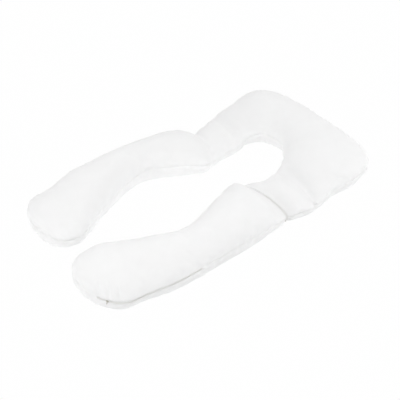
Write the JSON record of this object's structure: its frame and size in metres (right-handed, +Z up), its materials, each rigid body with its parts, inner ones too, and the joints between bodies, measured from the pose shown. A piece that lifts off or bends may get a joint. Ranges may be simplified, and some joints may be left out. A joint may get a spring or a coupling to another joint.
{
  "type": "u-shaped body pillow",
  "caption": "U-shaped full-body pillow, plain filled cloth, lying flat; one leg zips off at the neck.",
  "frame": {"origin": "on the floor under the middle of the pillow's length and width", "axes": "+X along the legs towards the head, +Y towards the leg that is fixed, +Z up"},
  "size_m": [1.4716, 0.7985, 0.1836],
  "materials": {
    "pillow_cloth": "matt white woven cotton, slightly napped",
    "zip_coil": "white nylon coil, satin",
    "zip_slider": "satin nickel plate"
  },
  "bodies": {
    "root": {"main_pillow": "pillow_cloth", "leg_pillow": "pillow_cloth", "joining_zip": "zip_coil", "joining_zip_slider": "zip_slider", "cover_zip": "zip_coil", "cover_zip_slider": "zip_slider"}
  },
  "joints": []
}
